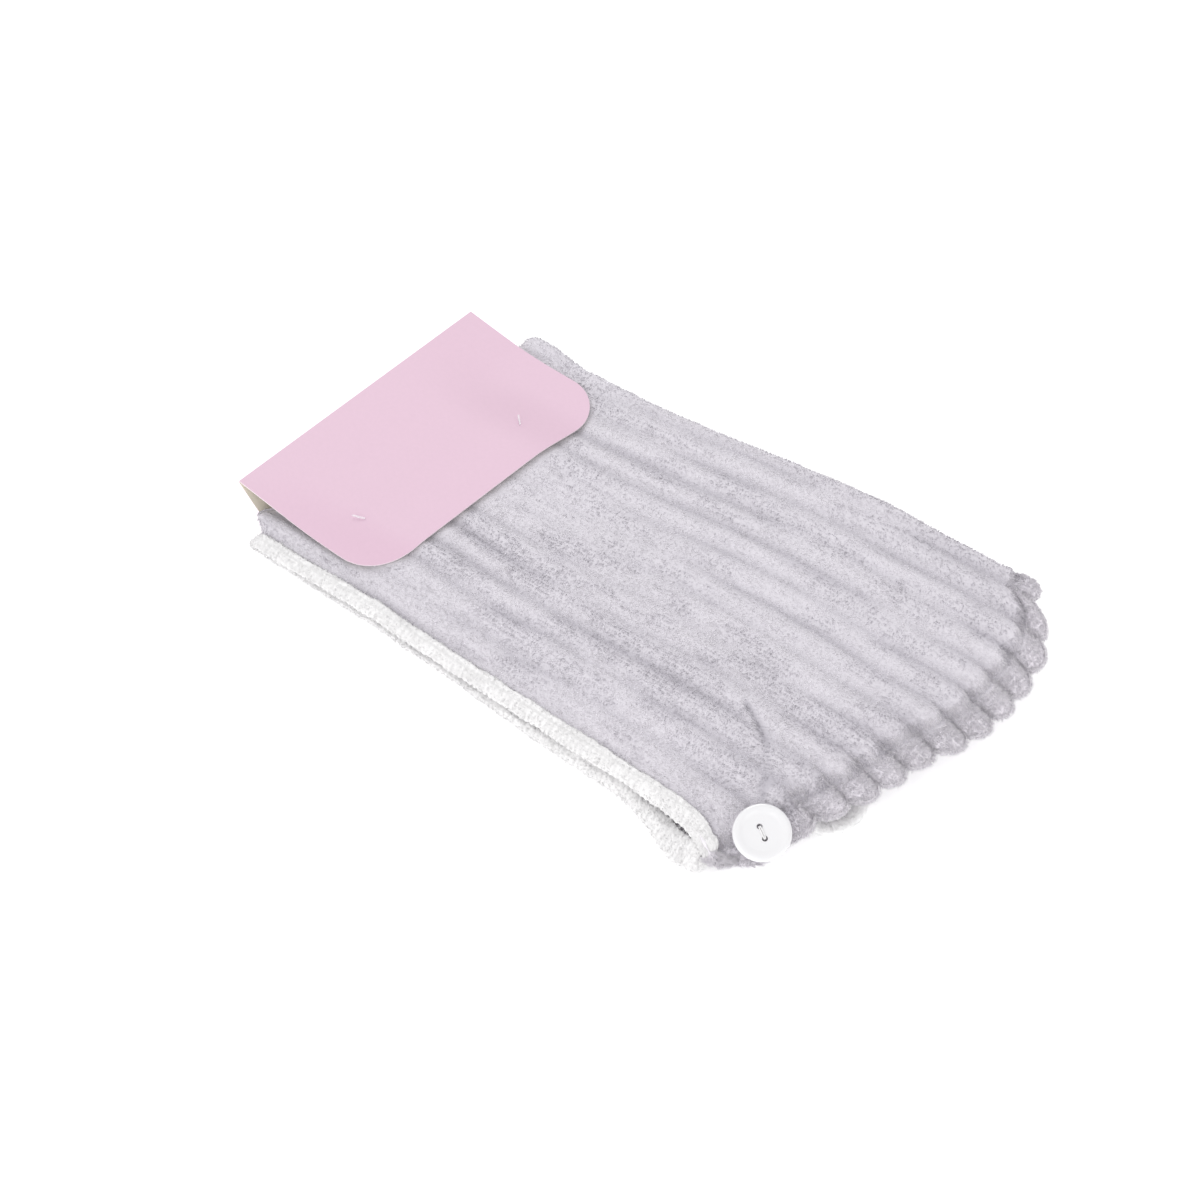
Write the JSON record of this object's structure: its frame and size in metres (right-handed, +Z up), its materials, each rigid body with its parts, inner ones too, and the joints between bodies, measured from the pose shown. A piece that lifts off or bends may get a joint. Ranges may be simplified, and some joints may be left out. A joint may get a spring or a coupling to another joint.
{
  "type": "hair turban towel on header card",
  "caption": "Ribbed fleece hair turban towel, folded flat, with a bound mouth, a button and its loop, held in a plain folded card.",
  "frame": {"origin": "on the floor, under the middle of the whole part's box", "axes": "+X along the ribs, from the card's fold to the towel's seam; +Y from the mouth to the far fold; +Z up"},
  "size_m": [0.3164, 0.1976, 0.0239],
  "materials": {
    "fleece": "matt coral fleece in ribs",
    "knit": "matt cross-ribbed knit",
    "button": "glossy white resin",
    "thread": "sewing thread",
    "strap": "soft white strap",
    "card": "smooth pink card, cream inside",
    "clear": "clear nylon"
  },
  "bodies": {
    "root": {"towel_body": "fleece", "opening_binding": "knit", "button": "button", "button_thread": "thread", "tail_loop": "strap", "header_card": "card", "tack_1": "clear", "tack_2": "clear"}
  },
  "joints": []
}
